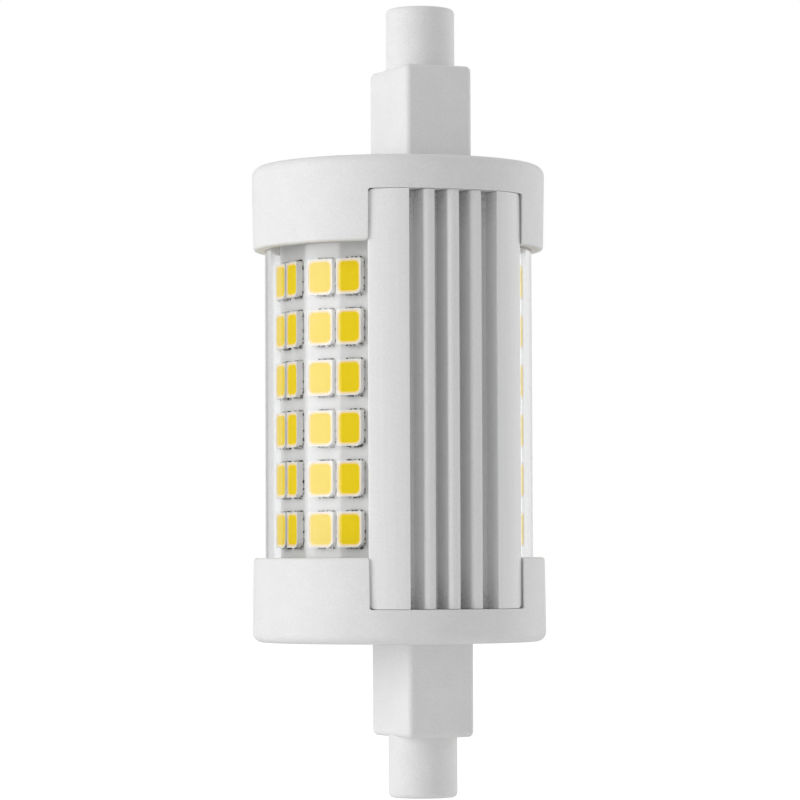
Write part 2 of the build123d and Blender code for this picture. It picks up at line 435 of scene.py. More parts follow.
class Tree:
    """A node tree, with short calls to add and join nodes."""

    def __init__(self, tree: bpy.types.NodeTree) -> None:
        """Take over a node tree."""
        self.tree = tree

    def add(self, kind: str, **inputs: object) -> bpy.types.Node:
        """Add a node and set or join its inputs.

        Args:
            kind: Node type, without its ShaderNode prefix.
            **inputs: Input names, with _ for a space, and their values or sockets.

        Returns:
            The node.
        """
        node = self.tree.nodes.new("ShaderNode" + kind)
        for name, value in inputs.items():
            self.put(node.inputs[name.replace("_", " ")], value)
        return node

    def put(self, socket: Socket, value: object) -> None:
        """Join a socket to another, or set its value.

        Args:
            socket: The input.
            value: A socket to join it to, or a value for it.
        """
        if isinstance(value, Socket):
            self.tree.links.new(value, socket)
        elif isinstance(value, tuple) and len(value) == 3 and socket.type == "RGBA":
            socket.default_value = (*value, 1.0)
        else:
            socket.default_value = value

    def spread(
        self,
        value: Socket,
        low: float | Socket,
        high: float | Socket,
        start: float = 0.3,
        stop: float = 0.7,
    ) -> Socket:
        """Map a pattern from one range onto another.

        Args:
            value: The pattern.
            low: Result at the start of the pattern's range.
            high: Result at the end of the pattern's range.
            start: Start of the pattern's range.
            stop: End of the pattern's range.

        Returns:
            The mapped pattern.
        """
        node = self.add("MapRange", Value=value)
        for name, number in (("From Min", start), ("From Max", stop), ("To Min", low), ("To Max", high)):
            self.put(node.inputs[name], number)
        return node.outputs["Result"]


class Graph(Tree):
    """A material's node tree."""

    def __init__(self, name: str) -> None:
        """Start an empty material.

        Args:
            name: Name of the material.
        """
        self.made = bpy.data.materials.new(name)
        self.made.use_nodes = True
        super().__init__(self.made.node_tree)
        self.tree.nodes.clear()
        self.output = self.tree.nodes.new("ShaderNodeOutputMaterial")
        self.coordinates = self.tree.nodes.new("ShaderNodeTexCoord").outputs["Object"]

    def noise(self, grain: float, detail: float = 2.0, stretch: Point = (1.0, 1.0, 1.0)) -> Socket:
        """Return a noise pattern.

        Args:
            grain: Size of a grain in millimetres.
            detail: Noise detail.
            stretch: How many times longer the grains are along each axis.

        Returns:
            The pattern's socket, from 0 to 1.
        """
        scale = tuple(1.0 / (grain * MM * times) for times in stretch)
        mapping = self.add("Mapping", Vector=self.coordinates, Scale=scale)
        return self.add("TexNoise", Vector=mapping.outputs["Vector"], Scale=1.0, Detail=detail).outputs["Fac"]

    def blend(self, share: Socket, first: object, second: object) -> Socket:
        """Mix two colours, which are inputs 6 and 7 and output 2 of a Mix node.

        Args:
            share: Share of the second colour, from 0 to 1.
            first: First colour or its socket.
            second: Second colour or its socket.

        Returns:
            The mixed colour.
        """
        node = self.tree.nodes.new("ShaderNodeMix")
        node.data_type = "RGBA"
        self.put(node.inputs[0], share)
        self.put(node.inputs[6], first)
        self.put(node.inputs[7], second)
        return node.outputs[2]

    def math(self, operation: str, *values: object) -> Socket:
        """Add a math node.

        Args:
            operation: Its operation.
            *values: Its inputs, as numbers or sockets.

        Returns:
            The result.
        """
        node = self.tree.nodes.new("ShaderNodeMath")
        node.operation = operation
        for socket, value in zip(node.inputs, values):
            self.put(socket, value)
        return node.outputs[0]

    def times(self, first: Socket, second: Socket) -> Socket:
        """Return the product of two patterns."""
        return self.math("MULTIPLY", first, second)

    def length_in_plane(self) -> Socket:
        """Measure the distance from the bulb's axis.

        Returns:
            The distance in metres.
        """
        flat = self.add("VectorMath", Vector=self.coordinates)
        flat.operation = "MULTIPLY"
        flat.inputs[1].default_value = (1.0, 1.0, 0.0)
        length = self.tree.nodes.new("ShaderNodeVectorMath")
        length.operation = "LENGTH"
        self.put(length.inputs[0], flat.outputs["Vector"])
        return length.outputs["Value"]

    def bump(self, height: Socket, depth: float, under: Socket | None = None) -> Socket:
        """Give a surface relief.

        Args:
            height: Pattern of the relief.
            depth: Its depth in millimetres.
            under: Normal that the relief lies on, if it isn't the surface's own.

        Returns:
            The normal.
        """
        node = self.add("Bump", Height=height, Distance=depth * MM)
        if under is not None:
            self.put(node.inputs["Normal"], under)
        return node.outputs["Normal"]

    def finish(self, shader: bpy.types.Node) -> bpy.types.Material:
        """Join a shader to the output and return the material."""
        self.tree.links.new(shader.outputs[0], self.output.inputs["Surface"])
        return self.made


@dataclass(frozen=True)
class Finish:
    """A surface finish: two close tones in a grain, with its own roughness and relief.

    Attributes:
        name: Material name.
        slot: The record's slot; not used here.
        tone: Main colour.
        shade: Colour that the grain drifts to.
        grain: Size of the grain in millimetres.
        rough: Least and greatest roughness.
        relief: Depth of the grain in millimetres.
        metal: Metallic share.
        stretch: How many times longer the grain is along each axis.
        speckle: Share of the dark speck colour at most.
        speck: Speck colour as a part of the shade.
        drift: Size of the slow drift from tone to shade, in grains.
    """

    name: str
    slot: str
    tone: Colour
    shade: Colour
    grain: float = 0.25
    rough: tuple[float, float] = (0.45, 0.6)
    relief: float = 0.004
    metal: float = 0.0
    stretch: Point = (1.0, 1.0, 1.0)
    speckle: float = 0.4
    speck: float = 0.86
    drift: float = 14.0

    def material(self) -> bpy.types.Material:
        """Make the material on first use.

        Returns:
            The material.
        """
        if self.name not in MADE:
            MADE[self.name] = self.build(Graph(self.name))
        return MADE[self.name]

    def speckled(self, graph: Graph, grain: Socket, tone: Socket) -> Socket:
        """Return a tone with fine dark specks.

        Args:
            graph: The material.
            grain: Pattern of the specks.
            tone: Tone between them.

        Returns:
            The speckled colour.
        """
        dark = tuple(self.speck * part for part in self.shade)
        return graph.blend(graph.spread(grain, 0.0, self.speckle), tone, dark)

    def build(self, graph: Graph) -> bpy.types.Material:
        """Build the node tree.

        Args:
            graph: An empty material.

        Returns:
            The material.
        """
        grain = graph.noise(self.grain, stretch=self.stretch)
        drift = graph.noise(self.grain * self.drift)
        tone = graph.blend(graph.spread(drift, 0.0, 1.0), self.tone, self.shade)
        shader = graph.add(
            "BsdfPrincipled",
            Base_Color=self.speckled(graph, grain, tone),
            Roughness=graph.spread(grain, *self.rough),
            Metallic=self.metal,
            Normal=graph.bump(grain, self.relief),
        )
        return graph.finish(shader)


@dataclass(frozen=True)
class CoatedMetal(Finish):
    """White coating on an extrusion: fine speckle, faint streaks along the bulb, and mottled ends with
    painted shade in the grooves.

    Attributes:
        end: Half the length of the extrusion in millimetres.
        mottle_and_shade_reach: How far the mottling and its painted shade reach in from each end, in
            millimetres.
        groove: Distances from the axis between which the mottling and its painted shade fade out, in
            millimetres.
        streak: Width of a streak, in grains.
        streak_length: How many times longer than wide a streak is.
        streak_relief: Depth of the streaks as a part of the relief.
        patch: Size of a mottled patch, in grains.
        patch_range: Levels of the pattern between which a patch fades in.
        mottle_and_shade_tone: Colour of a patch as a part of the shade colour, darker to paint shade into the
            groove ends.
        detail: Noise detail of the streaks and patches.
    """

    end: float = 20.4
    mottle_and_shade_reach: float = 4.0
    groove: tuple[float, float] = (13.3, 14.0)
    streak: float = 1.6
    streak_length: float = 60.0
    streak_relief: float = 0.7
    patch: float = 1.3
    patch_range: tuple[float, float] = (0.46, 0.6)
    mottle_and_shade_tone: float = 0.78
    detail: float = 3.0

    def build(self, graph: Graph) -> bpy.types.Material:
        """Build the node tree.

        Args:
            graph: An empty material.

        Returns:
            The material.
        """
        speckle = graph.noise(self.grain)
        streak = graph.noise(self.grain * self.streak, self.detail, (1.0, 1.0, self.streak_length))
        patch = graph.noise(self.grain * self.patch, self.detail)
        height = graph.add("SeparateXYZ", Vector=graph.coordinates).outputs["Z"]
        away = graph.math("ABSOLUTE", height)
        # Mottled patches near each end, kept to the grooves: partly the coating's mottling, partly painted
        # shade where the grooves run into the caps.
        near_end = graph.spread(away, 0.0, 1.0, (self.end - self.mottle_and_shade_reach) * MM, self.end * MM)
        deep = graph.spread(graph.length_in_plane(), 1.0, 0.0, *(depth * MM for depth in self.groove))
        mottle_and_shade_share = graph.spread(patch, 0.0, 1.0, *self.patch_range)
        for share in (near_end, deep):
            mottle_and_shade_share = graph.times(mottle_and_shade_share, share)
        tone = graph.blend(graph.spread(streak, 0.0, 1.0), self.tone, self.shade)
        streaked = self.speckled(graph, speckle, tone)
        mottle_and_shade_colour = tuple(self.mottle_and_shade_tone * part for part in self.shade)
        shader = graph.add(
            "BsdfPrincipled",
            Base_Color=graph.blend(mottle_and_shade_share, streaked, mottle_and_shade_colour),
            Roughness=graph.spread(speckle, *self.rough),
            Normal=graph.bump(speckle, self.relief, graph.bump(streak, self.relief * self.streak_relief)),
        )
        return graph.finish(shader)


@dataclass(frozen=True)
class ClearPlastic(Finish):
    """Clear moulded sleeve: it bends and mirrors light, and lets lamps and scattered light through.

    Attributes:
        index: Refractive index.
        mirror: Strength of its mirror-like part, where 0.5 is what the index gives.
        tint: Colour that passes through.
        passing: Colour of the lamp light and scattered light that it lets through.
        detail: Noise detail of its faint waves.
    """

    index: float = 1.49
    mirror: float = 0.27
    tint: Colour = (0.975, 0.98, 0.98)
    passing: Colour = (0.985, 0.985, 0.985)
    detail: float = 1.0

    def build(self, graph: Graph) -> bpy.types.Material:
        """Build the node tree.

        Args:
            graph: An empty material.

        Returns:
            The material.
        """
        waves = graph.noise(self.grain, self.detail, self.stretch)
        clear = graph.add(
            "BsdfPrincipled",
            Base_Color=self.tint,
            Roughness=graph.spread(waves, *self.rough),
            IOR=self.index,
            Specular_IOR_Level=self.mirror,
            Transmission_Weight=1.0,
            Normal=graph.bump(waves, self.relief),
        )
        passing = graph.add("BsdfTransparent", Color=self.passing)
        path = graph.add("LightPath")
        shader = clear
        for ray in ("Is Diffuse Ray", "Is Shadow Ray"):
            mixed = graph.add("MixShader")
            graph.put(mixed.inputs[0], path.outputs[ray])
            graph.put(mixed.inputs[1], shader.outputs[0])
            graph.put(mixed.inputs[2], passing.outputs[0])
            shader = mixed
        return graph.finish(shader)


@dataclass(frozen=True)
class RimmedResin(Finish):
    """LED resin or housing whose colour changes towards the edge of the window.

    Attributes:
        edge: Colour at the window's edge.
        sheen: Strength of its mirror-like part.
        painted_glow: Painted glow, an emission in the resin's own colour that brightens it the way a phosphor
            looks under white light.
    """

    edge: Colour = (1.0, 1.0, 1.0)
    sheen: float = 0.5
    painted_glow: float = 0.0

    def build(self, graph: Graph) -> bpy.types.Material:
        """Build the node tree.

        Args:
            graph: An empty material.

        Returns:
            The material.
        """
        share = graph.tree.nodes.new("ShaderNodeAttribute")
        share.attribute_name = EDGE_ATTRIBUTE
        grain = graph.noise(self.grain)
        body = graph.blend(graph.spread(grain, 0.0, 1.0), self.tone, self.shade)
        shader = graph.add(
            "BsdfPrincipled",
            Base_Color=graph.blend(share.outputs["Fac"], body, self.edge),
            Roughness=graph.spread(grain, *self.rough),
            Specular_IOR_Level=self.sheen,
            # The emission is a painted glow that brightens the resin.
            Emission_Color=body,
            Emission_Strength=self.painted_glow,
            Normal=graph.bump(grain, self.relief),
        )
        return graph.finish(shader)


@dataclass(frozen=True)
class SpottedMetal(Finish):
    """Dark solder that is broken up by bright spots, partly real joints and partly painted shade under a
    package's edges.

    Attributes:
        spot_range: Levels of the pattern between which a spot fades in.
        detail: Noise detail of the spots.
    """

    spot_range: tuple[float, float] = (0.46, 0.56)
    detail: float = 3.0

    def build(self, graph: Graph) -> bpy.types.Material:
        """Build the node tree.

        Args:
            graph: An empty material.

        Returns:
            The material.
        """
        spots = graph.noise(self.grain, self.detail)
        tone = graph.blend(graph.spread(spots, 0.0, 1.0, *self.spot_range), self.tone, self.shade)
        shader = graph.add(
            "BsdfPrincipled",
            Base_Color=tone,
            Roughness=graph.spread(spots, *self.rough),
            Metallic=self.metal,
            Normal=graph.bump(spots, self.relief),
        )
        return graph.finish(shader)


CAP_PLASTIC = Finish(
    "cap_moulding", "cap_plastic", (0.9, 0.905, 0.9), (0.87, 0.875, 0.87), 0.18, (0.5, 0.62), 0.03
)
SINK_COATING = CoatedMetal(
    "sink_paint", "sink_coating", (0.945, 0.95, 0.945), (0.915, 0.92, 0.915), 0.2, (0.26, 0.36), 0.014
)
CLEAR_SLEEVE = ClearPlastic(
    "clear_sleeve", "clear_plastic", (1, 1, 1), (1, 1, 1), 6.0, (0.0, 0.015), 0.0006, stretch=(1.0, 1.0, 8.0)
)
BOARD_MASK = Finish(
    "board_mask", "board_white", (0.82, 0.82, 0.815), (0.79, 0.79, 0.785), 0.5, (0.4, 0.5), 0.003
)
LED_HOUSING = RimmedResin(
    "led_cream", "led_housing", (0.92, 0.91, 0.89), (0.89, 0.88, 0.86), 0.3, (0.4, 0.5),
    edge=(0.97, 0.88, 0.70),
)
# The resin's small emission is a painted glow.
LED_RESIN = RimmedResin(
    "led_resin", "phosphor", (0.93, 0.695, 0.01), (0.91, 0.665, 0.008), 0.35, (0.6, 0.7),
    edge=(1.0, 0.78, 0.46), sheen=0.05, painted_glow=0.05,
)
# The solder's stubs along the long sides are painted shade under the packages' edges.
LED_SOLDER_AND_SHADE = SpottedMetal(
    "led_solder_and_shade", "strap_metal", (0.03, 0.028, 0.026), (0.78, 0.77, 0.75), 0.2, (0.35, 0.6), 0.02, metal=0.3
)
CONTACT_METAL = Finish(
    "contact_plating", "contact_metal", (0.70, 0.67, 0.61), (0.62, 0.59, 0.54), 0.12, (0.22, 0.4), 0.003,
    metal=1.0,
)

INNER_FINISHES: dict[str, Finish] = {
    "insulating_liner": Finish("liner_sheet", "liner_film", (0.62, 0.62, 0.58), (0.56, 0.56, 0.52), 0.6),
    "driver_board": Finish("driver_mask", "driver_laminate", (0.05, 0.2, 0.08), (0.04, 0.16, 0.06), 0.4),
    "bulk_capacitor": Finish(
        "capacitor_skin", "capacitor_sleeve", (0.03, 0.03, 0.05), (0.02, 0.02, 0.04), 0.3
    ),
    "fusible_resistor": Finish(
        "resistor_cement", "resistor_body", (0.18, 0.3, 0.28), (0.14, 0.25, 0.23), 0.2
    ),
    "film_capacitor": Finish(
        "film_capacitor_epoxy", "film_capacitor_body", (0.55, 0.1, 0.03), (0.5, 0.08, 0.02)
    ),
    "choke": Finish("choke_ferrite", "choke_body", (0.07, 0.06, 0.06), (0.1, 0.08, 0.07), 0.3, relief=0.02),
}
BLACK_MOULDING = Finish("black_epoxy", "black_moulding", (0.025, 0.025, 0.025), (0.035, 0.035, 0.035), 0.15)
WIRE_INSULATION = Finish("wire_skin", "wire_insulation", (0.7, 0.69, 0.66), (0.64, 0.63, 0.6), 0.3)
STRAP_METAL = Finish(
    "strap_tin", "strap_metal", (0.62, 0.6, 0.56), (0.55, 0.53, 0.5), 0.15, (0.25, 0.4), metal=1.0
)
INNER_FINISHES.update({node: BLACK_MOULDING for node in ("bridge_rectifier", "driver_chip")})
INNER_FINISHES.update({f"lead_wire_{end}": WIRE_INSULATION for end in ("top", "bottom")})
INNER_FINISHES.update({f"led_strap_{side}": STRAP_METAL for side in ("left", "right")})
INNER_FINISHES.update({f"contact_{end}": CONTACT_METAL for end in ("top", "bottom")})
INNER_FINISHES["led_board"] = BOARD_MASK


@dataclass
class EndCap:
    """White moulded end cap: a drafted cup with a notch, a rectangular neck and a round tip.

    Attributes:
        levels: Z of the skirt's edge, the notch's top, the floor, the outer face, the neck's end and the
            tip's end.
        radii: Bore, skirt radius and end radius of the cup.
        notch: Half the notch's width.
        stop: Half the width of the stop that closes the grooves, and its inner face's distance from the axis.
        neck: Width and depth of the neck.
        offset: Distance of the neck and tip from the bulb's axis.
        tip: Radius of the tip.
        recess: Radius and depth of the recess in the tip.
        wall: Wall of the neck.
        pin_hole: Radius of the contact pin's hole.
        sides: Steps round the cup.
        drum_sides: Sides of the tip, of its recess and of the pin's hole.
        end_round: Rounding of the cup's outer face.
        skirt_round: Rounding of the skirt's edge.
        notch_round: Rounding of the notch's outline.
        notch_corner: Rounding of the notch's upper corners.
        neck_round: Rounding of the neck.
        tip_round: Rounding of the tip's end.
        round_steps: Strips in a rounded edge.
        corner_steps: Strips in an upper corner of the notch.
        notch_steps: Strips along the notch's outline.
        notch_reach: How far the notch's cutter reaches past the skirt.
        overlap: How far a piece or cutter reaches into the next one.
        neck_root: How far above the floor the neck starts, inside the cup's end wall.
        tip_root: How far the tip reaches down into the neck.
        clear: How far a cutter reaches out past the face that it opens.
        rim_slack: How far inside the skirt's rounding the notch's outline may start.
        crease: Angle in degrees from which an edge stays sharp.
    """

    levels: tuple[float, ...] = (15.4, 20.43, 22.1, 23.8, 33.0, 39.0)
    radii: tuple[float, float, float] = (13.43, 14.57, 14.72)
    notch: float = 8.184
    stop: tuple[float, float] = (4.65, 10.464)
    neck: tuple[float, float] = (7.1, 9.6)
    offset: float = 5.85
    tip: float = 3.4
    recess: tuple[float, float] = (2.1, 1.5)
    wall: float = 1.4
    pin_hole: float = 1.55
    sides: int = 90
    drum_sides: tuple[int, int, int] = (96, 64, 48)
    end_round: float = 1.0
    skirt_round: float = 0.3
    notch_round: float = 0.06
    notch_corner: float = 0.22
    neck_round: float = 0.6
    tip_round: float = 0.5
    round_steps: int = 6
    corner_steps: int = 5
    notch_steps: int = 3
    notch_reach: float = 2.0
    overlap: float = 0.5
    neck_root: float = 0.3
    tip_root: float = 3.0
    clear: float = 1.0
    rim_slack: float = 0.02
    crease: float = 35.0

    def cup(self) -> Workpiece:
        """Turn the cup from its section and notch it for the spine.

        Returns:
            The cup.
        """
        skirt, notch_top, floor, face, _, _ = self.levels
        bore, skirt_radius, end_radius = self.radii
        outside = [(0, face), (end_radius, face), (skirt_radius, skirt)]
        section = outside + [(bore, skirt), (bore, floor), (0, floor)]
        cup = Workpiece.outline("cup", [(0.0, -radius, level) for radius, level in section], closed=False)
        cup.edit(Element.VERTEX)
        corners = ((end_radius, face, self.end_round), (skirt_radius, skirt, self.skirt_round))
        for radius, level, width in corners:
            cup.pick_points([(0.0, -radius, level)])
            cup.round_off(width, self.round_steps, corners=True)
        cup.spin(360.0, self.sides)
        notch = Workpiece.block(
            "notch",
            (-self.notch, -2 * end_radius, skirt - self.notch_reach),
            (self.notch, -bore / 2, notch_top),
        )
        notch.edit(Element.EDGE)
        notch.pick(
            Element.EDGE,
            lambda e: at_level(e, notch_top) and abs(e.verts[0].co.x - e.verts[1].co.x) < CLOSE,
        )
        notch.round_off(self.notch_corner, self.corner_steps)
        notch.done()
        cup.combine(notch, Cut.REMOVE)
        cup.edit(Element.EDGE)
        found = cup.pick(Element.EDGE, self.on_notch_edge)
        LOG.info("notch: %d edges rounded", found)
        cup.round_off(self.notch_round, self.notch_steps)
        cup.done()
        half_width, inner = self.stop
        stop = Workpiece.block(
            "stop",
            (-half_width, -bore - self.overlap, notch_top),
            (half_width, -inner, floor + self.overlap),
        )
        cup.combine(stop, Cut.JOIN)
        return cup

    def on_notch_edge(self, edge: bmesh.types.BMEdge) -> bool:
        """Say whether an edge of the cup lies on the outer outline of its notch.

        Args:
            edge: The edge.

        Returns:
            True if it does.
        """
        notch_top = self.levels[1] * MM
        least = (self.radii[1] - self.skirt_round - self.rim_slack) * MM
        ends = [vertex.co for vertex in edge.verts]
        if any(math.hypot(end.x, end.y) < least for end in ends):
            return False
        in_notch = all(abs(end.x) < self.notch * MM + CLOSE and end.y < 0 for end in ends)
        at_side = all(abs(abs(end.x) - self.notch * MM) < CLOSE for end in ends)
        at_top = at_level(edge, self.levels[1])
        low = notch_top - self.notch_corner * MM - CLOSE
        inner = (self.notch - self.notch_corner) * MM - CLOSE
        at_corner = all(abs(end.x) > inner and low < end.z < notch_top + CLOSE for end in ends)
        return in_notch and (at_side or at_top or at_corner)

    def neck_block(self) -> Workpiece:
        """Model the neck, with rounded corners and end.

        Returns:
            The neck.
        """
        _, _, floor, _, neck_end, _ = self.levels
        half_width, half_depth = self.neck[0] / 2, self.neck[1] / 2
        neck_start = floor + self.neck_root
        neck = Workpiece.block(
            "neck",
            (-half_width, -self.offset - half_depth, neck_start),
            (half_width, -self.offset + half_depth, neck_end),
        )
        neck.edit(Element.EDGE)
        low = neck_start * MM + CLOSE
        neck.pick(Element.EDGE, lambda e: max(v.co.z for v in e.verts) > low)
        neck.round_off(self.neck_round, self.round_steps)
        neck.done()
        return neck

    def tip_drum(self) -> Workpiece:
        """Model the round tip with its recess.

        Returns:
            The tip.
        """
        neck_end, tip_end = self.levels[4:]
        centre = (0.0, -self.offset)
        tip_sides, recess_sides, _ = self.drum_sides
        tip = Workpiece.drum("tip", centre, self.tip, (neck_end - self.tip_root, tip_end), tip_sides)
        tip.edit(Element.EDGE)
        tip.pick(Element.EDGE, lambda e: at_level(e, tip_end))
        tip.round_off(self.tip_round, self.round_steps)
        tip.done()
        radius, depth = self.recess
        ends = (tip_end - depth, tip_end + self.clear)
        tip.combine(Workpiece.drum("recess", centre, radius, ends, recess_sides), Cut.REMOVE)
        return tip

    def build(self) -> None:
        """Model the upper cap, copy it to the lower end and dress both."""
        _, _, floor, _, neck_end, tip_end = self.levels
        cap = self.cup()
        neck = self.neck_block()
        neck.combine(self.tip_drum(), Cut.JOIN)
        cap.combine(neck, Cut.JOIN)
        half_width, half_depth = (size / 2 - self.wall for size in self.neck)
        hollow_end = neck_end - self.wall
        hollow = Workpiece.block(
            "hollow",
            (-half_width, -self.offset - half_depth, floor - self.clear),
            (half_width, -self.offset + half_depth, hollow_end),
        )
        cap.combine(hollow, Cut.REMOVE)
        ends = (hollow_end - self.overlap, tip_end - self.recess[1] + self.overlap)
        hole = Workpiece.drum("pin_hole", (0.0, -self.offset), self.pin_hole, ends, self.drum_sides[2])
        cap.combine(hole, Cut.REMOVE)
        cap.smooth(self.crease)
        lower = cap.copy("end_cap_bottom_moulding", Matrix.Rotation(math.pi, 4, "Y"))
        cap.piece.name = "end_cap_top_moulding"
        cap.place(CAP_PLASTIC, ["end_cap_top"])
        lower.place(CAP_PLASTIC, ["end_cap_bottom"])


@dataclass
class Spine:
    """Finned extrusion, with its sharp edges eased.

    Attributes:
        edge_round: Width of the eased edges.
        edge_steps: Strips in an eased edge.
        edge_angle: Angle in degrees from which an edge is eased.
        crease: Angle in degrees from which an edge stays sharp.
    """

    edge_round: float = 0.09
    edge_steps: int = 2
    edge_angle: float = 40.0
    crease: float = 30.0

    def build(self) -> None:
        """Ease the extrusion's edges and dress it."""
        spine = Workpiece.copy_of("finned_spine", "heat_sink")
        spine.soften(self.edge_round, self.edge_steps, self.edge_angle)
        spine.smooth(self.crease)
        spine.place(SINK_COATING, ["heat_sink"])


@dataclass
class Sleeve:
    """Clear cover: an open sleeve that runs from one side pad round to the other.

    Attributes:
        radius: Outer radius.
        thickness: Wall.
        steps: Steps round the sleeve.
        crease: Angle in degrees from which an edge stays sharp.
    """

    radius: float = 13.4
    thickness: float = 0.5
    steps: int = 240
    crease: float = 30.0

    def build(self) -> None:
        """Turn the sleeve's wall round the bulb and dress it."""
        low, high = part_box("clear_cover")
        opening = math.degrees(math.acos(-low.y / (self.radius * MM)))
        start = direction(opening)
        inner = self.radius - self.thickness
        corners = [
            (*(start * reach).xy, level / MM)
            for reach, level in ((inner, low.z), (self.radius, low.z), (self.radius, high.z), (inner, high.z))
        ]
        sleeve = Workpiece.outline("clear_sleeve", corners, closed=True)
        sleeve.edit(Element.VERTEX)
        bpy.ops.mesh.select_all(action="SELECT")
        bpy.ops.mesh.edge_face_add()
        sleeve.done()
        sleeve.spin(360.0 - 2.0 * opening, self.steps)
        sleeve.smooth(self.crease)
        sleeve.place(CLEAR_SLEEVE, ["clear_cover"])


@dataclass
class LedField:
    """LED packages on the facets of the board: housings, resin windows, solder joints and dark stubs of
    painted shade.

    Attributes:
        facets: Number of facets with LEDs.
        facet_step: Angle from facet to facet in degrees.
        board_face: Distance of a facet's face from the axis.
        size: Width, length and height of a package.
        window: Width and length of the window.
        window_round: Corner radius of the window.
        sunk: How far the resin lies below the rim.
        polarity_cut: Size of the corner that is cut off each package.
        columns: LEDs across a facet.
        rows: LEDs along a facet.
        pitch: Distance from LED to LED across and along a facet.
        drop: How far the rows lie below the bulb's middle.
        tall_facet: Facet whose packages stand out further, so that their edges show beside the right pad.
        tall: How many times higher its packages are.
        foot: Gap between a housing and the board, which the solder joints fill.
        corner_round: Rounding of a housing's upright edges.
        corner_steps: Strips in such an edge.
        window_depth: Depth of the opening in a housing.
        window_steps: Strips in a corner of the window.
        rim_band: Width of the paler band round the opening of a housing.
        top_slack: How far below its top a housing still counts as its rim.
        resin_gap: Gap between the resin and the housing.
        resin_depth: Thickness of the resin.
        rings: Widths of the rings inside the resin's edge.
        ring_edge: How far from its edge the resin is paler.
        joint_span: Start and end of a solder joint along a short end of the package.
        joint_reach: How far a joint reaches under the package and out past it.
        joint_height: Height of a joint.
        shade_stubs: Place and half length of each dark stub along a long side, painted shade under the
            package's edge.
        stub_reach: How far a stub reaches under the package and out past it.
        stub_height: Height of a stub.
        crease: Angle in degrees from which an edge stays sharp.
    """

    facets: int = 8
    facet_step: float = 36.0
    board_face: float = 11.2635
    size: Point = (2.8, 3.5, 0.7)
    window: tuple[float, float] = (2.6, 3.2)
    window_round: float = 0.62
    sunk: float = 0.05
    polarity_cut: float = 0.42
    columns: int = 2
    rows: int = 6
    pitch: tuple[float, float] = (3.25, 4.95)
    drop: float = 0.25
    tall_facet: int = 1
    tall: float = 1.45
    foot: float = 0.06
    corner_round: float = 0.12
    corner_steps: int = 2
    window_depth: float = 0.2
    window_steps: int = 4
    rim_band: float = 0.08
    top_slack: float = 0.01
    resin_gap: float = 0.002
    resin_depth: float = 0.14
    rings: tuple[float, float] = (0.11, 0.08)
    ring_edge: float = 0.14
    joint_span: tuple[float, float] = (-0.5, 1.15)
    joint_reach: tuple[float, float] = (0.25, 0.16)
    joint_height: float = 0.34
    shade_stubs: tuple[tuple[float, float], ...] = ((-1.15, 0.3), (-0.2, 0.16), (1.2, 0.34))
    stub_reach: tuple[float, float] = (0.2, 0.05)
    stub_height: float = 0.12
    crease: float = 40.0

    def window_slab(self, name: str, grow: float, bottom: float, top: float) -> Workpiece:
        """Return a slab with the window's rounded outline.

        Args:
            name: Name of the piece.
            grow: How much wider than the window it is on each side.
            bottom: Lowest Z in millimetres.
            top: Highest Z in millimetres.

        Returns:
            The slab.
        """
        slab = Workpiece.plate(name, self.window[0] + 2 * grow, self.window[1] + 2 * grow, top)
        slab.edit(Element.VERTEX)
        bpy.ops.mesh.select_all(action="SELECT")
        slab.round_off(self.window_round + grow, self.window_steps, corners=True)
        bpy.ops.mesh.select_all(action="SELECT")
        bpy.ops.mesh.extrude_region_move(TRANSFORM_OT_translate={"value": (0, 0, (bottom - top) * MM)})
        slab.tidy()
        return slab

    def housing(self) -> Workpiece:
        """Model one housing: a block with eased corners, one of them cut off for polarity, and a window.

        Returns:
            The housing.
        """
        width, length, height = self.size
        low = (-width / 2, -length / 2, self.foot)
        housing = Workpiece.block("housing", low, (width / 2, length / 2, height))
        housing.edit(Element.EDGE)
        corner = Vector((width / 2, -length / 2)) * MM
        housing.pick(Element.EDGE, lambda e: all((v.co.xy - corner).length < CLOSE for v in e.verts))
        housing.round_off(self.polarity_cut, 1)
        housing.pick(Element.EDGE, lambda e: abs(e.verts[0].co.z - e.verts[1].co.z) > CLOSE)
        housing.round_off(self.corner_round, self.corner_steps)
        housing.done()
        opening = self.window_slab("opening", 0.0, height - self.window_depth, height + self.window_depth)
        housing.combine(opening, Cut.REMOVE)
        rim = (height - self.top_slack) * MM
        self.mark_edge(housing, lambda co: co.z > rim and self.from_window(co) < self.rim_band * MM)
        return housing

    def resin(self) -> Workpiece:
        """Model one resin window with a paler edge.

        Returns:
            The resin.
        """
        top = self.size[2] - self.sunk
        resin = self.window_slab("resin", -self.resin_gap, top - self.resin_depth, top)
        resin.edit(Element.FACE)
        resin.pick(Element.FACE, lambda f: f.normal.z > LEAST_UPWARD)
        for width in self.rings:
            bpy.ops.mesh.inset(thickness=width * MM)
        resin.done()
        self.mark_edge(resin, lambda co: self.from_window(co) < self.ring_edge * MM)
        return resin

    def solder(self) -> Workpiece:
        """Model one package's solder joints along its two short ends, and the dark stubs at its long sides
        that are painted shade under its edges.

        Returns:
            The joints, as one workpiece.
        """
        width, length, _ = self.size
        joints = []
        for end in (-1, 1):
            near, far = self.across_edge(end, length / 2, self.joint_reach)
            left, right = self.joint_span
            joints.append(Workpiece.block("joint", (left, near, 0.0), (right, far, self.joint_height)))
            near, far = self.across_edge(end, width / 2, self.stub_reach)
            for place, half in self.shade_stubs:
                high = (far, place + half, self.stub_height)
                joints.append(Workpiece.block("stub", (near, place - half, 0.0), high))
        solder = joints[0]
        solder.absorb(joints[1:])
        return solder

    @staticmethod
    def across_edge(side: int, edge: float, reach: tuple[float, float]) -> list[float]:
        """Return the least and greatest place of a solder joint across an edge of the package."""
        return sorted((side * (edge - reach[0]), side * (edge + reach[1])))

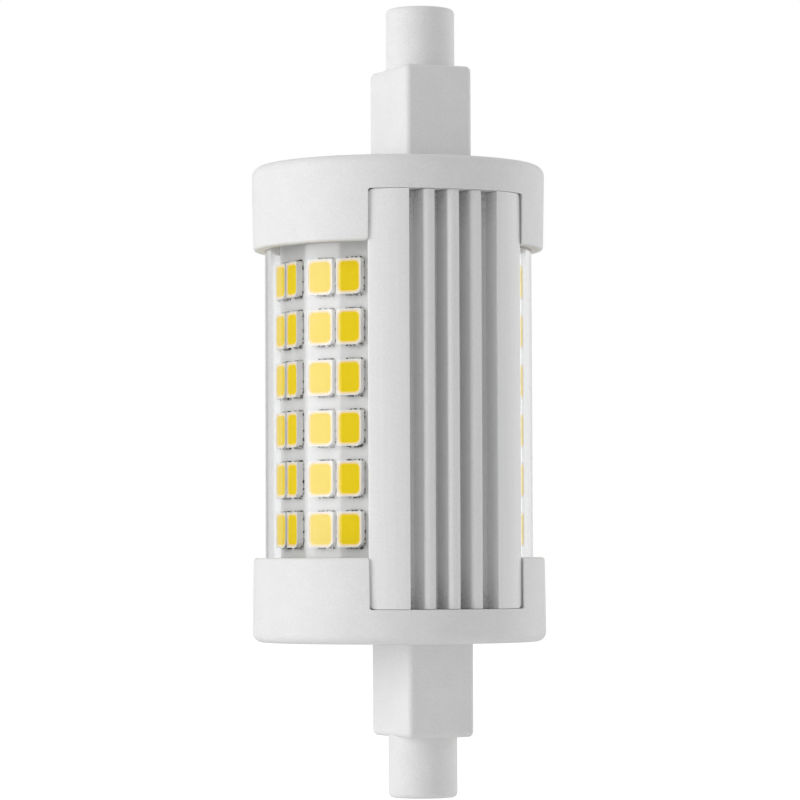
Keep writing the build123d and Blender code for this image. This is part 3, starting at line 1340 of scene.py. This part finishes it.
    def from_window(self, co: Vector) -> float:
        """Measure how far a point is from the window's outline, in the plane of the facet.

        Args:
            co: The point in metres.

        Returns:
            The distance in metres.
        """
        half = [size / 2 - self.window_round for size in self.window]
        beyond = [max(abs(part) / MM - inner, 0.0) for part, inner in zip(co.xy, half)]
        return abs(math.hypot(*beyond) - self.window_round) * MM

    def mark_edge(self, work: Workpiece, test: Callable[[Vector], bool]) -> None:
        """Write the attribute that is 1 at the window's edge.

        Args:
            work: The workpiece.
            test: Says whether a point lies at the window's edge.
        """
        mesh = work.piece.data
        marks = mesh.attributes.new(EDGE_ATTRIBUTE, "FLOAT", "POINT")
        marks.data.foreach_set("value", [float(test(vertex.co)) for vertex in mesh.vertices])

    def places(self, number: int) -> list[Matrix]:
        """Work out where the packages of a facet stand.

        Args:
            number: Number of the facet, counted from 1.

        Returns:
            A matrix for each package.
        """
        angle = self.facet_step * (number + 0.5)
        out = direction(angle)
        across = direction(angle + 90.0)
        rise = out * (self.tall if number == self.tall_facet else 1.0)
        turn = Matrix((across, Vector((0, 0, 1)), rise)).transposed().to_4x4()
        found = []
        for column in range(self.columns):
            for row in range(self.rows):
                x = (column - (self.columns - 1) / 2) * self.pitch[0] * MM
                z = ((row - (self.rows - 1) / 2) * self.pitch[1] - self.drop) * MM
                spot = out * self.board_face * MM + across * x + Vector((0, 0, z))
                found.append(Matrix.Translation(spot) @ turn)
        return found

    def build(self) -> None:
        """Model one package, copy it over the facets and dress the copies."""
        patterns = (
            (self.housing(), "led_packages", LED_HOUSING, "led_housings"),
            (self.resin(), "led_windows", LED_RESIN, "led_phosphor"),
            (self.solder(), "led_solder_and_shade", LED_SOLDER_AND_SHADE, None),
        )
        for pattern, name, finish, node in patterns:
            pattern.smooth(self.crease)
            for number in range(1, self.facets + 1):
                copies = [pattern.copy(f"{name}_copy", place) for place in self.places(number)]
                copies[0].absorb(copies[1:])
                copies[0].piece.name = f"{name}_{number}"
                copies[0].place(finish, [f"{node}_{number}"] if node else [])
            bpy.data.objects.remove(pattern.piece, do_unlink=True)


@dataclass
class Inside:
    """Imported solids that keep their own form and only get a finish.

    Attributes:
        finishes: Finish of each solid, by its node.
    """

    finishes: dict[str, Finish] = field(default_factory=lambda: dict(INNER_FINISHES))

    def dress(self) -> None:
        """Give each solid its finish."""
        for node, finish in self.finishes.items():
            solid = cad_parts[node]
            solid.data.materials.clear()
            solid.data.materials.append(finish.material())
            LOG.info("node %s: %s", node, finish.name)


@dataclass
class Softbox:
    """A soft rectangular lamp that faces the bulb.

    Attributes:
        name: Name of the lamp.
        angle: Angle round the bulb in degrees.
        height: Angle above the bulb's middle in degrees.
        distance: Distance in metres.
        size: Width and height in metres.
        brightness: Radiance, where 1 is white.
        mirrored: True if glossy surfaces show the lamp.
    """

    name: str
    angle: float
    height: float
    distance: float
    size: tuple[float, float]
    brightness: float
    mirrored: bool = True

    def build(self) -> None:
        """Add the lamp."""
        lamp = bpy.data.lights.new(self.name, "AREA")
        lamp.shape = "RECTANGLE"
        lamp.size, lamp.size_y = self.size
        lamp.energy = self.brightness * math.pi * self.size[0] * self.size[1]
        holder = bpy.data.objects.new(self.name, lamp)
        bpy.context.scene.collection.objects.link(holder)
        lift = math.radians(self.height)
        way = direction(self.angle) * math.cos(lift) + Vector((0, 0, math.sin(lift)))
        holder.location = way * self.distance
        holder.rotation_mode = "QUATERNION"
        holder.rotation_quaternion = way.to_track_quat("Z", "Y")
        holder.visible_glossy = self.mirrored


@dataclass
class Studio:
    """White studio: floor, surrounding light, lamps and the photograph's camera.

    Attributes:
        floor_drop: Distance of the floor below the bulb in metres.
        floor_size: Length of the floor's sides in metres.
        floor_tones: Colours that the floor drifts between.
        floor_grain: Size of that drift in millimetres.
        floor_glow: Light that the floor adds where the camera sees it.
        surround: Strength of the light from all round.
        room: Strength of the dark room as glossy and clear surfaces show it.
        backdrop_edge: Cosines from the view's axis between which the room gives way to the backdrop.
        backdrop: The backdrop from left to right: places from 0 to 1, and levels there.
        position: Place of the camera in millimetres.
        yaw: Turn of the camera about Z in degrees.
        pitch: Upward tilt in degrees.
        roll: Roll in degrees.
        lens: Focal length in millimetres.
        sensor: Width of the sensor in millimetres.
        clip_start: Least distance that the camera sees, in metres.
        lamps: The lamps.
    """

    floor_drop: float = 0.025
    floor_size: float = 6.0
    floor_tones: tuple[Colour, Colour] = ((0.9, 0.9, 0.9), (0.89, 0.89, 0.89))
    floor_grain: float = 40.0
    floor_glow: float = 0.62
    surround: float = 0.54
    room: float = 0.08
    backdrop_edge: tuple[float, float] = (0.48, 0.51)
    backdrop: tuple[tuple[float, float], ...] = (
        (0.0, 0.62), (0.28, 0.62), (0.31, 0.56), (0.37, 0.56),
        (0.41, 0.95), (0.52, 0.95), (0.57, 0.8), (1.0, 0.8),
    )
    position: Point = (-150.44, -358.76, -15.35)
    yaw: float = -22.77
    pitch: float = 2.321
    roll: float = -0.219
    lens: float = 174.5
    sensor: float = 36.0
    clip_start: float = 0.01
    lamps: tuple[Softbox, ...] = (
        Softbox("left_softbox", -91.0, 0.0, 0.5, (0.315, 0.8), 1.9),
        Softbox("left_fill", -95.0, 0.0, 0.5, (0.315, 0.8), 1.05, mirrored=False),
        Softbox("right_softbox", 95.0, 0.0, 0.6, (0.35, 0.8), 1.95, mirrored=False),
    )

    def floor(self) -> None:
        """Add the pale floor, which is white to the eye where no shadow falls."""
        clear_selection()
        level = CAD_BOX[0].z - self.floor_drop
        bpy.ops.mesh.primitive_plane_add(size=self.floor_size, location=(0, 0, level))
        floor = bpy.context.view_layer.objects.active
        floor.name = "floor"
        graph = Graph("floor_paint")
        drift = graph.spread(graph.noise(self.floor_grain), 0.0, 1.0)
        paint = graph.add("BsdfDiffuse", Color=graph.blend(drift, *self.floor_tones))
        painted_glow = graph.add("Emission", Color=(1.0, 1.0, 1.0))
        path = graph.add("LightPath")
        seen = graph.spread(path.outputs["Is Camera Ray"], 0.0, self.floor_glow, 0.0, 1.0)
        graph.put(painted_glow.inputs["Strength"], seen)
        both = graph.add("AddShader")
        graph.put(both.inputs[0], paint.outputs[0])
        graph.put(both.inputs[1], painted_glow.outputs[0])
        floor.data.materials.append(graph.finish(both))

    def world(self) -> None:
        """Light the bulb evenly from all round, and show white behind it.

        Mirrored and bent rays find the white backdrop behind the bulb, with a dim gap on its left, and the
        dark room elsewhere.
        """
        world = bpy.data.worlds.new("studio")
        bpy.context.scene.world = world
        world.use_nodes = True
        background = world.node_tree.nodes["Background"]
        sky = Tree(world.node_tree)
        sky.put(background.inputs["Color"], (1.0, 1.0, 1.0))
        path = sky.add("LightPath")
        way = sky.add("TexCoord").outputs["Generated"]
        ahead = -Vector(self.position).normalized()
        along = []
        for axis in (ahead, ahead.cross(Vector((0, 0, 1))).normalized()):
            node = sky.add("VectorMath")
            node.operation = "DOT_PRODUCT"
            sky.put(node.inputs[0], way)
            sky.put(node.inputs[1], axis)
            along.append(node.outputs["Value"])
        ramp = sky.add("ValToRGB", Fac=sky.spread(along[1], 0.0, 1.0, -1.0, 1.0))
        stops = ramp.color_ramp.elements
        ends = {0.0: stops[0], 1.0: stops[1]}
        for place, level in self.backdrop:
            stop = ends[place] if place in ends else stops.new(place)
            stop.color = (level, level, level, 1.0)
        backdrop = sky.spread(along[0], self.room, ramp.outputs["Color"], *self.backdrop_edge)
        level = self.surround
        rays = {"Is Glossy Ray": backdrop, "Is Transmission Ray": backdrop, "Is Camera Ray": 1.0}
        for name, seen in rays.items():
            level = sky.spread(path.outputs[name], level, seen, 0.0, 1.0)
        sky.put(background.inputs["Strength"], level)

    def camera(self) -> None:
        """Add the camera at the photograph's viewpoint."""
        yaw, pitch, roll = (math.radians(angle) for angle in (self.yaw, self.pitch, self.roll))
        ahead = Vector((-math.sin(yaw) * math.cos(pitch), math.cos(yaw) * math.cos(pitch), math.sin(pitch)))
        right = Vector((math.cos(yaw), math.sin(yaw), 0.0))
        up = right.cross(ahead)
        across = right * math.cos(roll) + up * math.sin(roll)
        upright = up * math.cos(roll) - right * math.sin(roll)
        view = bpy.data.cameras.new("camera")
        view.lens = self.lens
        view.sensor_width = self.sensor
        view.clip_start = self.clip_start
        holder = bpy.data.objects.new("camera", view)
        bpy.context.scene.collection.objects.link(holder)
        turn = Matrix((across, upright, -ahead)).transposed().to_4x4()
        holder.matrix_world = Matrix.Translation(Vector(self.position) * MM) @ turn
        bpy.context.scene.camera = holder

    def build(self) -> None:
        """Set up the floor, light and camera."""
        self.floor()
        self.world()
        for lamp in self.lamps:
            lamp.build()
        self.camera()
        bpy.context.scene.view_settings.view_transform = "Standard"


def main() -> None:
    """Build the pieces in order, then the studio."""
    logging.basicConfig(level=logging.INFO, format="%(name)s: %(message)s")
    Inside().dress()
    EndCap().build()
    Spine().build()
    LedField().build()
    Sleeve().build()
    Studio().build()
    clear_selection()


if __name__ == "__main__":
    main()
